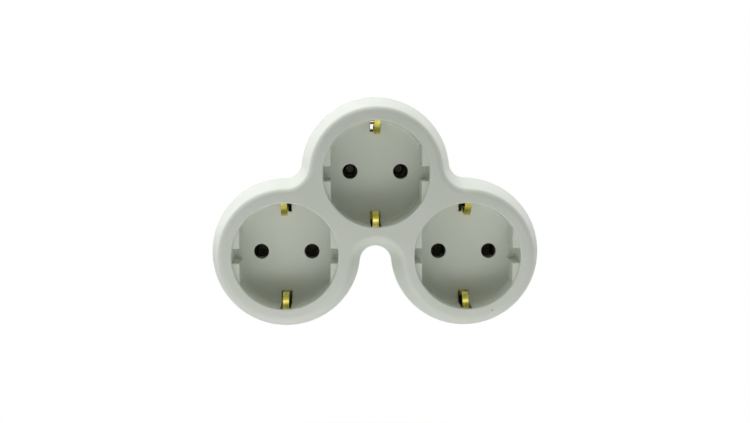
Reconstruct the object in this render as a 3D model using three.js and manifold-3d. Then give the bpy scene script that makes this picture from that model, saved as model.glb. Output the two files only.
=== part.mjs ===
// Triple socket adapter: a two-shell moulded body with three earthed round wells and a two-pin plug behind.
// Millimetres. The drawing frame has x to the right, y up and z towards the front. The last group turns it,
// so that the part stands with +Z up, its wells facing -Y and its plug pointing along +Y.
import * as THREE from "three";
import { mergeVertices } from "three/addons/utils/BufferGeometryUtils.js";
import Module from "manifold-3d";

const wasm = await Module();
wasm.setup();

// Clearance between pieces that touch or slide on each other
const GAP = 0.3;

// Outline of the body at its seam: three lobes joined by hollow curves
const LOBE_R = 27.6;
const LOWER_X = 33.3;
const LOWER_Y = -30;
const JUNCTION_R = 6;

// Levels along z, from the plug's face at 0 to the front plane
const BOSS_H = 17.5;
const BODY_H = 42.5;
const FRONT_Z = BOSS_H + BODY_H;
const FLANK_H = 15;
const SEAM_Z = FRONT_Z - FLANK_H;

// Shells
const WALL = 2.2;
const FRONT_DRAFT = THREE.MathUtils.degToRad(12.8);
const FRONT_EDGE_R = 1.8;
const BACK_TAPER = THREE.MathUtils.degToRad(1.75);
const BACK_EDGE_R = 2.5;
const TONGUE_OUT = 1.3;
const TONGUE_H = 1.8;

// Socket wells
const WELL_R = 19.4;
const WELL_DEPTH = 17.5;
const WELL_EDGE_R = 0.45;
const WELL_FILLET_R = 1.4;
const FLOOR_Z = FRONT_Z - WELL_DEPTH;
const FLOOR_T = 2.2;
const CUP_WALL = 1.9;
const PIN_PITCH = 19;
const PIN_HOLE_R = 2.8;
const GUIDE_X = 16.5;
const GUIDE_DEPTH = 1.8;
const GUIDE_EDGE = 0.5;
const NOTCH_W = 5.45;
const WINDOW_W = 3.8;
const WINDOW_IN = 15;
const WINDOW_TOP_DEPTH = 1.2;

// Plug at the back
const BOSS_R = 18.3;
const BOSS_FLAT_X = 16.2;
const BOSS_RIB_W = 4.8;
const BOSS_EDGE_R = 1;
const BOSS_WALL = 2.2;
const GROOVE_W = 5;
const GROOVE_IN = 15.2;
const PIN_R = 2.4;
const PIN_LENGTH = 19;
const SLEEVE_WALL = 1.5;
const COLLAR_R = 3.2;
const NECK_R = 1.5;
const PEEN = 0.6;

// Live parts
const BAR_T = 1;
const BAR_W = 4;
const PAD_R = 4.5;
const BAR_RISE = 0.9;
const BAR_ELBOW_OUT = 19;
const BAR_ELBOW_DROP = 13.8;
const BAR_SHOULDER_OUT = 2.9;
const BAR_TURN_IN = 13.3;
const BAR_TURN_END = THREE.MathUtils.degToRad(30);
const CLIP_T = 0.6;
const CLIP_H = 5.5;
const CLIP_THROAT = 2.2;
const CLIP_BELLY = 3;
const CLIP_MOUTH = 2.8;
const CLIP_MOUTH_BELOW_FLOOR = 2.1;
const CLIP_THROAT_DROP = 3;
const CLIP_BELLY_DROP = 4;
const CLIP_BEND_R = 1;
const CHAMBER_WALL = 1.2;
const CHAMBER_H = 9.3;
const RIVET_R = 1;
const RIVET_HEAD_R = 1.9;
const RIVET_HEAD_H = 0.6;
const RIVET_TAIL_H = 0.3;
const RIVET_CHAMFER = 0.35;

// Earth parts
const EARTH_W = 2.4;
const EARTH_T = 0.8;
const EARTH_APEX_R = 14.6;
const EARTH_FLOOR_R = 16.7;
const EARTH_TIP_R = 19.9;
const EARTH_APEX_DEPTH = 8.5;
const EARTH_TIP_DEPTH = 2.8;
const EARTH_FLARE_OUT = 2.3;
const EARTH_FLARE_DROP = 2;
const EARTH_KNEE_OUT = 0.9;
const EARTH_KNEE_RISE = 3.5;
const EARTH_BEND_R = 1.2;
const LINK_W = 4;
const EYE_R = 2.8;
const EYE_PROUD = 0.05;
const EARTH_RIVET_R = 10.5;
const LEG_T = 0.7;
const LEG_W = 4;
const UPPER_FOOT_IN = -0.6;

// Housing screws
const UPPER_SCREW = [24.5, -6];
const LOWER_SCREW = [45.3, -44];
const SCREW_SEAT_RISE = 8.5;
const SCREW_TIP_BELOW_FLOOR = 1.3;
const SCREW_HEAD_R = 2.9;
const SCREW_HEAD_H = 1.9;
const SCREW_HEAD_ROUND = 1.3;
const SCREW_R = 1.25;
const SCREW_POINT_R = 0.25;
const PILLAR_R = 3.4;
const PILLAR_WALL = 1.4;
const SLOT_W = 0.8;
const SLOT_L = 3.5;
const SLOT_DEPTH = 1;

// Facets
const LOBE_STEP = THREE.MathUtils.degToRad(10);
const HIDDEN_STEP = THREE.MathUtils.degToRad(18);
const ARC_STEPS_MIN = 6;
const ROUND_STEPS = 3;
const EDGE_STEPS = 2;
const CLIP_STEPS = 12;
const BRACKET_STEPS = 15;
const WELL_SEGMENTS = 36;
const HOLE_SEGMENTS = 16;
const SMALL_SEGMENTS = 10;

// How far a cutting solid reaches past the surface that it opens
const EPS = 0.5;

const FLOOR_BACK_Z = FLOOR_Z - FLOOR_T;
const BACK_INNER_Z = BOSS_H + WALL;
const BAR_Z = BACK_INNER_Z + BAR_RISE;
const BAR_TOP = BAR_Z + BAR_T;
const CHAMBER_Z = FLOOR_BACK_Z - CHAMBER_H;
const SCREW_SEAT_Z = BOSS_H + SCREW_SEAT_RISE;
const SCREW_TIP_Z = FLOOR_BACK_Z - SCREW_TIP_BELOW_FLOOR;
// The earth bracket of each socket sits a little askew in its windows
const LEFT = { name: "left", x: -LOWER_X, y: LOWER_Y, shift: -0.12, askew: 0.0165 };
const RIGHT = { name: "right", x: LOWER_X, y: LOWER_Y, shift: 0, askew: -0.02 };
const TOP = { name: "top", x: 0, y: 0, shift: 0.12, askew: -0.0165 };
const SOCKETS = [LEFT, RIGHT, TOP];
const SIDES = [-1, 1];
const EARTH_RIVET_SIDES = { left: [1], right: [1], top: [1, -1] };
const SCREWS = [
  ["screw_upper_left", -UPPER_SCREW[0], UPPER_SCREW[1]],
  ["screw_upper_right", UPPER_SCREW[0], UPPER_SCREW[1]],
  ["screw_lower_left", -LOWER_SCREW[0], LOWER_SCREW[1]],
  ["screw_lower_right", LOWER_SCREW[0], LOWER_SCREW[1]],
];

// A closed geometry as a solid that can be joined and cut
function solid(geometry) {
  const bare = geometry.index ? geometry.toNonIndexed() : geometry.clone();
  bare.deleteAttribute("normal");
  bare.deleteAttribute("uv");
  const merged = mergeVertices(bare, 1e-4);
  const index = merged.index.array;
  const kept = [];
  for (let i = 0; i < index.length; i += 3) {
    const [a, b, c] = index.slice(i, i + 3);
    if (a !== b && b !== c && c !== a) kept.push(a, b, c);
  }
  const vertProperties = merged.attributes.position.array;
  const triVerts = new Uint32Array(kept);
  return new wasm.Manifold(new wasm.Mesh({ numProp: 3, vertProperties, triVerts }));
}

function joined(solids) {
  return solids.reduce((all, next) => all.add(next));
}

// A named mesh made from a solid
function piece(name, made, material) {
  const { vertProperties, triVerts } = made.getMesh();
  const geometry = new THREE.BufferGeometry();
  geometry.setAttribute("position", new THREE.BufferAttribute(vertProperties, 3));
  geometry.setIndex(new THREE.BufferAttribute(triVerts, 1));
  geometry.computeVertexNormals();
  const mesh = new THREE.Mesh(geometry, material);
  mesh.name = name;
  return mesh;
}

function box([x0, x1], [y0, y1], [z0, z1]) {
  const geometry = new THREE.BoxGeometry(x1 - x0, y1 - y0, z1 - z0);
  geometry.translate((x0 + x1) / 2, (y0 + y1) / 2, (z0 + z1) / 2);
  return solid(geometry);
}

function cylinder(x, y, radius, [z0, z1], segments = HOLE_SEGMENTS) {
  const geometry = new THREE.CylinderGeometry(radius, radius, z1 - z0, segments);
  geometry.rotateX(Math.PI / 2);
  geometry.translate(x, y, (z0 + z1) / 2);
  return solid(geometry);
}

// A body of revolution about an axis along z. The profile lists [radius, z], upwards along the outside.
function turned(x, y, profile, segments) {
  const points = profile.map(([r, z]) => new THREE.Vector2(r, z));
  const geometry = new THREE.LatheGeometry(points, segments);
  geometry.rotateX(Math.PI / 2);
  geometry.translate(x, y, 0);
  return solid(geometry);
}

// Points along an arc, without its last one
function arc(centre, radius, from, to, step) {
  const steps = Math.max(ARC_STEPS_MIN, Math.round(Math.abs(to - from) / step));
  return Array.from({ length: steps }, (_, i) => {
    const angle = from + ((to - from) * i) / steps;
    return new THREE.Vector2(centre.x + radius * Math.cos(angle), centre.y + radius * Math.sin(angle));
  });
}

function angleTo(from, to) {
  return Math.atan2(to.y - from.y, to.x - from.x);
}

// The hollow curve between the top lobe and a lower lobe touches both: its centre is as far from each of them
function junctionCentre(side) {
  const lower = new THREE.Vector2(side * LOWER_X, LOWER_Y);
  const half = lower.length() / 2;
  const rise = Math.sqrt((LOBE_R + JUNCTION_R) ** 2 - half ** 2);
  const across = new THREE.Vector2(-lower.y, lower.x).normalize().multiplyScalar(side * rise);
  return lower.clone().multiplyScalar(0.5).add(across);
}

// The notch between the lower lobes touches all three lobes
const NOTCH_CENTRE = new THREE.Vector2(0, (LOWER_X ** 2 + LOWER_Y ** 2) / (2 * LOWER_Y));
const NOTCH_R = -NOTCH_CENTRE.y - LOBE_R;

// The body's outline, moved inwards by inset. Each arc keeps its centre at every inset.
function outline(inset, step) {
  const top = new THREE.Vector2(0, 0);
  const lowerLeft = new THREE.Vector2(-LOWER_X, LOWER_Y);
  const lowerRight = new THREE.Vector2(LOWER_X, LOWER_Y);
  const left = junctionCentre(-1);
  const right = junctionCentre(1);
  const lobe = LOBE_R - inset;
  const hollow = JUNCTION_R + inset;
  const notch = NOTCH_R + inset;
  const leftEnd = angleTo(lowerLeft, NOTCH_CENTRE) + 2 * Math.PI;
  return [
    ...arc(top, lobe, angleTo(top, right), angleTo(top, left), step),
    ...arc(left, hollow, angleTo(left, top), angleTo(left, lowerLeft), step),
    ...arc(lowerLeft, lobe, angleTo(lowerLeft, left), leftEnd, step),
    ...arc(NOTCH_CENTRE, notch, angleTo(NOTCH_CENTRE, lowerLeft), angleTo(NOTCH_CENTRE, lowerRight), step),
    ...arc(lowerRight, lobe, angleTo(lowerRight, NOTCH_CENTRE), angleTo(lowerRight, right), step),
    ...arc(right, hollow, angleTo(right, lowerRight), angleTo(right, top), step),
  ];
}

// A solid through outlines at [inset, z], from the lowest level to the highest
function loft(levels, step = LOBE_STEP) {
  const rings = levels.map(([inset]) => outline(inset, step));
  const count = rings[0].length;
  const position = rings.flatMap((ring, k) => ring.flatMap((p) => [p.x, p.y, levels[k][1]]));
  const index = [];
  for (let k = 0; k + 1 < rings.length; k++) {
    for (let i = 0; i < count; i++) {
      const a = k * count + i;
      const b = k * count + ((i + 1) % count);
      index.push(a, b, b + count, a, b + count, a + count);
    }
  }
  const last = (rings.length - 1) * count;
  for (const [a, b, c] of THREE.ShapeUtils.triangulateShape(rings[0], [])) index.push(c, b, a);
  for (const [a, b, c] of THREE.ShapeUtils.triangulateShape(rings.at(-1), [])) {
    index.push(last + a, last + b, last + c);
  }
  const geometry = new THREE.BufferGeometry();
  geometry.setAttribute("position", new THREE.Float32BufferAttribute(position, 3));
  geometry.setIndex(index);
  return solid(geometry);
}

// Insets of the drafted flank and of the tapered back, at height z
function flankInset(z) {
  return (z - SEAM_Z) * Math.tan(FRONT_DRAFT);
}

function backInset(z) {
  return (SEAM_Z - z) * Math.tan(BACK_TAPER);
}

// Levels of the front's rounded edge, from the flank up to the land
function frontEdge() {
  const top = FRONT_Z - FRONT_EDGE_R * (1 - Math.sin(FRONT_DRAFT));
  const centre = flankInset(top) + FRONT_EDGE_R * Math.cos(FRONT_DRAFT);
  return Array.from({ length: ROUND_STEPS + 1 }, (_, i) => {
    const angle = FRONT_DRAFT + ((Math.PI / 2 - FRONT_DRAFT) * i) / ROUND_STEPS;
    const z = FRONT_Z - FRONT_EDGE_R + FRONT_EDGE_R * Math.sin(angle);
    return [centre - FRONT_EDGE_R * Math.cos(angle), z];
  });
}

// Levels of the back's rounded edge, from the flat back up to the side
function backEdge() {
  const side = BOSS_H + BACK_EDGE_R * (1 - Math.sin(BACK_TAPER));
  const centre = backInset(side) + BACK_EDGE_R * Math.cos(BACK_TAPER);
  return Array.from({ length: ROUND_STEPS + 1 }, (_, i) => {
    const angle = Math.PI / 2 - ((Math.PI / 2 - BACK_TAPER) * i) / ROUND_STEPS;
    const z = BOSS_H + BACK_EDGE_R - BACK_EDGE_R * Math.sin(angle);
    return [centre - BACK_EDGE_R * Math.cos(angle), z];
  });
}

// The space of one well, with its guide blocks left standing
function well({ x, y }) {
  const profile = [[0, FLOOR_Z]];
  for (let i = 0; i <= ROUND_STEPS; i++) {
    const angle = (Math.PI / 2) * (i / ROUND_STEPS);
    const r = WELL_R - WELL_FILLET_R + WELL_FILLET_R * Math.sin(angle);
    profile.push([r, FLOOR_Z + WELL_FILLET_R - WELL_FILLET_R * Math.cos(angle)]);
  }
  for (let i = 0; i <= EDGE_STEPS; i++) {
    const angle = (Math.PI / 2) * (i / EDGE_STEPS);
    const r = WELL_R + WELL_EDGE_R - WELL_EDGE_R * Math.cos(angle);
    profile.push([r, FRONT_Z - WELL_EDGE_R + WELL_EDGE_R * Math.sin(angle)]);
  }
  profile.push([WELL_R + WELL_EDGE_R, FRONT_Z + EPS], [0, FRONT_Z + EPS]);
  const space = turned(x, y, profile, WELL_SEGMENTS);
  return joined([space.subtract(joined(SIDES.map((side) => guideBlock(x, y, side)))), notches(x, y)]);
}

// A guide block: a flat-faced segment of the well, with its upper edge cut at 45 degrees
function guideBlock(x, y, side) {
  const shape = new THREE.Shape();
  const top = FRONT_Z - GUIDE_DEPTH;
  shape.moveTo(GUIDE_X, FLOOR_Z - EPS);
  shape.lineTo(WELL_R + EPS, FLOOR_Z - EPS);
  shape.lineTo(WELL_R + EPS, top);
  shape.lineTo(GUIDE_X + GUIDE_EDGE, top);
  shape.lineTo(GUIDE_X, top - GUIDE_EDGE);
  const geometry = new THREE.ExtrudeGeometry(shape, { depth: 2 * WELL_R, bevelEnabled: false });
  geometry.rotateX(Math.PI / 2);
  geometry.translate(0, WELL_R, 0);
  if (side < 0) geometry.rotateZ(Math.PI);
  geometry.translate(x, y, 0);
  return solid(geometry);
}

// The keyways across both guide blocks, as wide as the ribs of a plug need
function notches(x, y) {
  const tall = [y - NOTCH_W / 2, y + NOTCH_W / 2];
  const across = box([x - WELL_R, x + WELL_R], tall, [FLOOR_Z, FRONT_Z - GUIDE_DEPTH + EPS]);
  return across.intersect(cylinder(x, y, WELL_R, [FLOOR_Z - EPS, FRONT_Z], WELL_SEGMENTS));
}

// Openings through the floor and wall of one well: two pin holes and two earth windows
function wellOpenings({ x, y }) {
  const through = [FLOOR_BACK_Z - EPS, FLOOR_Z + EPS];
  const holes = SIDES.map((side) => cylinder(x + (side * PIN_PITCH) / 2, y, PIN_HOLE_R, through));
  const reach = WELL_R + CUP_WALL + EPS;
  const wide = [x - WINDOW_W / 2, x + WINDOW_W / 2];
  const tall = [FLOOR_BACK_Z - EPS, FRONT_Z - WINDOW_TOP_DEPTH];
  const windows = SIDES.map((side) => {
    const ends = [y + side * WINDOW_IN, y + side * reach].sort((a, b) => a - b);
    return box(wide, ends, tall);
  });
  return joined([...holes, ...windows]);
}

// A square sleeve under a pin hole, which keeps the leaves of the contact apart from the earth parts
const CHAMBER_HALF_X = CLIP_BELLY + CLIP_T + GAP;
const CHAMBER_HALF_Y = CLIP_H / 2 + GAP;

function chamber(x, y, grow, levels) {
  const halfX = CHAMBER_HALF_X + grow;
  const halfY = CHAMBER_HALF_Y + grow;
  return box([x - halfX, x + halfX], [y - halfY, y + halfY], levels);
}

function contactPlaces() {
  return SOCKETS.flatMap((socket) =>
    SIDES.map((side) => ({
      socket,
      side,
      name: "contact_" + socket.name + (side < 0 ? "_live" : "_neutral"),
      x: socket.x + (side * PIN_PITCH) / 2,
      y: socket.y,
    })),
  );
}

function frontCover() {
  const rim = SEAM_Z + GAP / 2;
  const inner = FRONT_Z - WALL;
  const skin = loft([[flankInset(rim), rim], ...frontEdge()]);
  const hollowLevels = [
    [WALL, SEAM_Z - EPS],
    [WALL, rim],
    [flankInset(inner) + WALL, inner],
  ];
  const hollow = loft(hollowLevels, HIDDEN_STEP);
  const low = SEAM_Z - TONGUE_H;
  const tongueOutside = loft([low, SEAM_Z + EPS].map((z) => [TONGUE_OUT, z]), HIDDEN_STEP);
  const tongueInside = loft([low - EPS, SEAM_Z + 2 * EPS].map((z) => [WALL, z]), HIDDEN_STEP);
  const tongue = tongueOutside.subtract(tongueInside);
  const cups = SOCKETS.map(({ x, y }) => {
    return cylinder(x, y, WELL_R + CUP_WALL, [FLOOR_BACK_Z, inner + EPS], WELL_SEGMENTS);
  });
  const chamberLevels = [CHAMBER_Z, FLOOR_BACK_Z + EPS];
  const chambers = contactPlaces().map(({ x, y }) => chamber(x, y, CHAMBER_WALL, chamberLevels));
  const chamberSpaces = contactPlaces().map(({ x, y }) => chamber(x, y, 0, [CHAMBER_Z - EPS, FLOOR_BACK_Z]));
  const pillarZ = SCREW_SEAT_Z + WALL + GAP;
  const pillars = SCREWS.map(([, x, y]) => {
    const top = y === UPPER_SCREW[1] ? inner + EPS : FLOOR_BACK_Z + EPS;
    return cylinder(x, y, PILLAR_R, [pillarZ, top]);
  });
  const pilotTop = SCREW_TIP_Z + GAP;
  const pilots = SCREWS.map(([, x, y]) => {
    return cylinder(x, y, SCREW_R + GAP, [pillarZ - EPS, pilotTop], SMALL_SEGMENTS);
  });
  const pocketLevels = [FLOOR_BACK_Z - EPS, FLOOR_BACK_Z + RIVET_HEAD_H + GAP];
  const pockets = SOCKETS.flatMap((socket) =>
    EARTH_RIVET_SIDES[socket.name].map((side) => {
      return cylinder(socket.x, rivetY(socket, side), RIVET_HEAD_R + GAP, pocketLevels);
    }),
  );
  const body = joined([skin.subtract(hollow), tongue, ...cups, ...chambers, ...pillars]);
  const openings = [...SOCKETS.map(well), ...SOCKETS.map(wellOpenings)];
  const cuts = joined([...openings, ...chamberSpaces, ...pilots, ...pockets]);
  return body.subtract(cuts);
}

// The plug's round body, with its side flats, keying ribs and rounded face edge
function boss() {
  const profile = [[0, 0]];
  for (let i = 0; i <= ROUND_STEPS; i++) {
    const angle = (Math.PI / 2) * (i / ROUND_STEPS);
    const r = BOSS_R - BOSS_EDGE_R + BOSS_EDGE_R * Math.sin(angle);
    profile.push([r, BOSS_EDGE_R - BOSS_EDGE_R * Math.cos(angle)]);
  }
  profile.push([BOSS_R, BOSS_H + EPS], [0, BOSS_H + EPS]);
  const levels = [-EPS, BOSS_H + 2 * EPS];
  const flats = box([-BOSS_FLAT_X, BOSS_FLAT_X], [-BOSS_R, BOSS_R], levels);
  const ribs = box([-BOSS_R, BOSS_R], [-BOSS_RIB_W / 2, BOSS_RIB_W / 2], levels);
  return turned(0, 0, profile, WELL_SEGMENTS).intersect(joined([flats, ribs]));
}

function bossHollow() {
  const halfX = BOSS_FLAT_X - BOSS_WALL;
  const halfY = GROOVE_IN - BOSS_WALL;
  const levels = [BOSS_WALL, BACK_INNER_Z + EPS];
  const round = cylinder(0, 0, BOSS_R - BOSS_WALL, levels, WELL_SEGMENTS);
  return box([-halfX, halfX], [-halfY, halfY], levels).intersect(round);
}

// The hollow behind each earth strip of the plug runs from the plug's face into the body
const GROOVE_OUT = BOSS_R + GAP;

function earthGroove(side) {
  const ends = [side * GROOVE_IN, side * GROOVE_OUT].sort((a, b) => a - b);
  return box([-GROOVE_W / 2, GROOVE_W / 2], ends, [-EPS, BACK_INNER_Z + EPS]);
}

function backCover() {
  const rim = SEAM_Z - GAP / 2;
  const skin = loft([...backEdge(), [backInset(rim), rim]]);
  const hollowLevels = [
    [backInset(BACK_INNER_Z) + WALL, BACK_INNER_Z],
    [backInset(rim) + WALL, rim + EPS],
  ];
  const hollow = loft(hollowLevels, HIDDEN_STEP);
  const rebateLevels = [SEAM_Z - TONGUE_H - GAP, rim + EPS];
  const rebate = loft(rebateLevels.map((z) => [TONGUE_OUT - GAP, z]), HIDDEN_STEP);
  const pillarR = SCREW_HEAD_R + GAP + PILLAR_WALL;
  const pillars = SCREWS.map(([, x, y]) => cylinder(x, y, pillarR, [BOSS_H + EPS, SCREW_SEAT_Z + WALL]));
  const bores = SCREWS.flatMap(([, x, y]) => [
    cylinder(x, y, SCREW_HEAD_R + GAP, [BOSS_H - EPS, SCREW_SEAT_Z]),
    cylinder(x, y, SCREW_R + GAP, [SCREW_SEAT_Z - EPS, SCREW_SEAT_Z + WALL + EPS], SMALL_SEGMENTS),
  ]);
  const sleeves = SIDES.map((side) => {
    return cylinder((side * PIN_PITCH) / 2, 0, PIN_R + GAP + SLEEVE_WALL, [EPS, BOSS_H]);
  });
  const pinHoles = SIDES.map((side) => {
    return cylinder((side * PIN_PITCH) / 2, 0, PIN_R + GAP, [-EPS, BOSS_H + EPS]);
  });
  const rests = contactPlaces()
    .filter(({ socket }) => socket !== TOP)
    .map(({ x, y }) => barRest(x, y));
  const shell = joined([skin, boss()]).subtract(joined([hollow, rebate, bossHollow()]));
  const body = joined([shell, ...pillars, ...sleeves, ...rests]);
  return body.subtract(joined([...bores, ...pinHoles, ...SIDES.map(earthGroove)]));
}

// A moulded ring on the back wall that carries the pad of a bar, clear of the rivet's tail
function barRest(x, y) {
  const levels = [BACK_INNER_Z - EPS, BAR_Z - GAP];
  return cylinder(x, y, PAD_R, levels).subtract(cylinder(x, y, RIVET_HEAD_R + GAP, [BACK_INNER_Z, BAR_Z]));
}

// A plug pin: domed tip, shank through the sleeve, collar on the sleeve's end and a peened neck
function plugPin(side) {
  const collarZ = BOSS_H + GAP;
  const neckZ = BAR_Z - GAP;
  const headZ = BAR_TOP + GAP + CLIP_T + GAP;
  const profile = [[0, -PIN_LENGTH]];
  for (let i = 1; i <= ROUND_STEPS; i++) {
    const angle = (Math.PI / 2) * (i / ROUND_STEPS);
    profile.push([PIN_R * Math.sin(angle), PIN_R * (1 - Math.cos(angle)) - PIN_LENGTH]);
  }
  profile.push([PIN_R, collarZ], [COLLAR_R, collarZ], [COLLAR_R, neckZ], [NECK_R, neckZ]);
  profile.push([NECK_R, headZ], [NECK_R + PEEN, headZ], [NECK_R, headZ + PEEN], [0, headZ + PEEN]);
  return turned((side * PIN_PITCH) / 2, 0, profile, HOLE_SEGMENTS);
}

// A flat strip of the given width along a path of [x, y] points, with round ends and corners
function flatStrip(path, width, levels) {
  const solids = [];
  path.forEach(([x, y], i) => {
    solids.push(cylinder(x, y, width / 2, levels, SMALL_SEGMENTS));
    if (i === 0) return;
    const [x0, y0] = path[i - 1];
    const length = Math.hypot(x - x0, y - y0);
    const geometry = new THREE.BoxGeometry(length, width, levels[1] - levels[0]);
    geometry.rotateZ(Math.atan2(y - y0, x - x0));
    geometry.translate((x + x0) / 2, (y + y0) / 2, (levels[0] + levels[1]) / 2);
    solids.push(solid(geometry));
  });
  return joined(solids);
}

// A flat strip bent edgeways about a centre
function flatArc({ x, y }, radius, [from, to], width, [z0, z1]) {
  const shape = new THREE.Shape();
  shape.absarc(x, y, radius + width / 2, from, to, true);
  shape.absarc(x, y, radius - width / 2, to, from, false);
  const geometry = new THREE.ExtrudeGeometry(shape, { depth: z1 - z0, bevelEnabled: false });
  geometry.translate(0, 0, z0);
  return solid(geometry);
}

// A bus bar: a strip with a round pad at each contact, holed for its rivet or for the neck of a pin
function busBar(strip, side) {
  const levels = [BAR_Z, BAR_TOP];
  const through = [BAR_Z - EPS, BAR_TOP + EPS];
  const places = contactPlaces().filter((place) => place.side === side);
  const pads = places.map(({ x, y }) => cylinder(x, y, PAD_R, levels));
  const holes = places.map(({ socket, x, y }) => {
    return cylinder(x, y, (socket === TOP ? NECK_R : RIVET_R) + GAP, through, SMALL_SEGMENTS);
  });
  return joined([strip, ...pads]).subtract(joined(holes));
}

// The way of a bar on one side, from the plug's pin to the contact of the lower socket
function barPath(side) {
  const half = PIN_PITCH / 2;
  return [
    [side * half, 0],
    [side * BAR_ELBOW_OUT, -BAR_ELBOW_DROP],
    [side * (LOWER_X + BAR_SHOULDER_OUT), LOWER_Y + half],
    [side * (LOWER_X + half), LOWER_Y],
  ];
}

// The live bar goes on round the notch, midway between the notch's wall and the plug's lower earth strip,
// so that it never crosses the neutral bar
function liveBar() {
  const half = PIN_PITCH / 2;
  const notchWall = NOTCH_R + backInset(BAR_Z) + WALL;
  const radius = (notchWall - NOTCH_CENTRE.y - BOSS_R) / 2;
  const turnEnd = new THREE.Vector2(Math.cos(BAR_TURN_END), Math.sin(BAR_TURN_END));
  turnEnd.multiplyScalar(radius).add(NOTCH_CENTRE);
  const path = [
    ...barPath(-1),
    [-LOWER_X, LOWER_Y - half],
    [-LOWER_X + BAR_TURN_IN, LOWER_Y - half],
    [NOTCH_CENTRE.x - radius, NOTCH_CENTRE.y],
  ];
  const levels = [BAR_Z, BAR_TOP];
  const bend = flatArc(NOTCH_CENTRE, radius, [Math.PI, BAR_TURN_END], BAR_W, levels);
  const last = flatStrip([turnEnd.toArray(), [LOWER_X - half, LOWER_Y]], BAR_W, levels);
  return busBar(joined([flatStrip(path, BAR_W, levels), bend, last]), -1);
}

function neutralBar() {
  const path = [[-LOWER_X + PIN_PITCH / 2, LOWER_Y], ...barPath(1)];
  return busBar(flatStrip(path, BAR_W, [BAR_Z, BAR_TOP]), 1);
}

// A bent strip seen from its edge: one half follows a smooth curve through the points, the other mirrors it
function bandShape(points, thickness, steps) {
  const curve = new THREE.CatmullRomCurve3(points.map(([u, w]) => new THREE.Vector3(u, w, 0)));
  const inside = [];
  const outside = [];
  for (let i = 0; i <= steps; i++) {
    const { x, y } = curve.getPoint(i / steps);
    const tangent = curve.getTangent(i / steps).multiplyScalar(thickness / 2);
    inside.push(new THREE.Vector2(x + tangent.y, y - tangent.x));
    outside.push(new THREE.Vector2(x - tangent.y, y + tangent.x));
  }
  const mirrored = (side) => side.toReversed().map(({ x, y }) => new THREE.Vector2(-x, y));
  return new THREE.Shape([...inside, ...mirrored(inside), ...[...outside, ...mirrored(outside)].reverse()]);
}

// Points of a strip that comes down at u and turns inwards along w with the given radius
function bend(u, w, radius) {
  const cut = radius * (1 - Math.SQRT1_2);
  return [
    [u, w + radius],
    [u - cut, w + cut],
    [u - radius, w],
    [u - 2 * radius, w],
  ];
}

// A socket contact: a bent strip whose two leaves grip a pin
function contact({ x, y, socket }) {
  const base = BAR_TOP + GAP + CLIP_T / 2;
  const mouth = FLOOR_BACK_Z - CLIP_MOUTH_BELOW_FLOOR;
  const throat = mouth - CLIP_THROAT_DROP;
  const belly = CLIP_BELLY + CLIP_T / 2;
  const leaf = [
    [CLIP_MOUTH + CLIP_T / 2, mouth],
    [CLIP_THROAT + CLIP_T / 2, throat],
    [belly, throat - CLIP_BELLY_DROP],
    ...bend(belly, base, CLIP_BEND_R),
  ];
  const shape = bandShape(leaf, CLIP_T, CLIP_STEPS);
  const geometry = new THREE.ExtrudeGeometry(shape, { depth: CLIP_H, bevelEnabled: false });
  geometry.rotateX(Math.PI / 2);
  geometry.translate(x, y + CLIP_H / 2, 0);
  const holeR = (socket === TOP ? NECK_R : RIVET_R) + GAP;
  const hole = cylinder(x, y, holeR, [base - CLIP_T, base + CLIP_T], SMALL_SEGMENTS);
  return solid(geometry).subtract(hole);
}

// A rivet through a stack of strips between two levels
function rivet(x, y, [z0, z1]) {
  const low = z0 - GAP;
  const high = z1 + GAP;
  const profile = [
    [0, low - RIVET_TAIL_H],
    [RIVET_HEAD_R - RIVET_CHAMFER, low - RIVET_TAIL_H],
    [RIVET_HEAD_R, low],
    [RIVET_R, low],
    [RIVET_R, high],
    [RIVET_HEAD_R, high],
    [RIVET_HEAD_R - RIVET_CHAMFER, high + RIVET_HEAD_H],
    [0, high + RIVET_HEAD_H],
  ];
  return turned(x, y, profile, SMALL_SEGMENTS);
}

const CROSS_TOP = FLOOR_BACK_Z - GAP;
const CROSS_Z = CROSS_TOP - EARTH_T;
const LINK_TOP = CROSS_Z - GAP;
const LINK_Z = LINK_TOP - EARTH_T;

// An earth bracket: one strip bent up into two spring arms, with a cross strip under the well's floor
function earthBracket(socket) {
  const middle = CROSS_Z + EARTH_T / 2;
  const arm = [
    [EARTH_TIP_R, FRONT_Z - EARTH_TIP_DEPTH],
    [EARTH_APEX_R + EARTH_FLARE_OUT, FRONT_Z - EARTH_TIP_DEPTH - EARTH_FLARE_DROP],
    [EARTH_APEX_R, FRONT_Z - EARTH_APEX_DEPTH],
    [EARTH_APEX_R + EARTH_KNEE_OUT, FLOOR_Z + EARTH_KNEE_RISE],
    [EARTH_FLOOR_R, FLOOR_Z],
    ...bend(EARTH_FLOOR_R, middle, EARTH_BEND_R),
  ];
  const shape = bandShape(arm, EARTH_T, BRACKET_STEPS);
  const band = new THREE.ExtrudeGeometry(shape, { depth: EARTH_W, bevelEnabled: false });
  band.translate(0, 0, -EARTH_W / 2);
  band.rotateX(Math.PI / 2);
  band.rotateZ(Math.PI / 2 + socket.askew);
  band.translate(socket.x + socket.shift, socket.y, 0);
  const places = EARTH_RIVET_SIDES[socket.name].map((side) => [socket.x, rivetY(socket, side)]);
  const eyeLevels = [CROSS_Z - EYE_PROUD, CROSS_TOP + EYE_PROUD];
  const eyes = places.map(([x, y]) => cylinder(x, y, EYE_R, eyeLevels));
  const through = [CROSS_Z - EPS, CROSS_TOP + EPS];
  const holes = places.map(([x, y]) => cylinder(x, y, RIVET_R + GAP, through, SMALL_SEGMENTS));
  return joined([solid(band), ...eyes]).subtract(joined(holes));
}

function rivetY(socket, side) {
  return socket.y + side * EARTH_RIVET_R;
}

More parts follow.
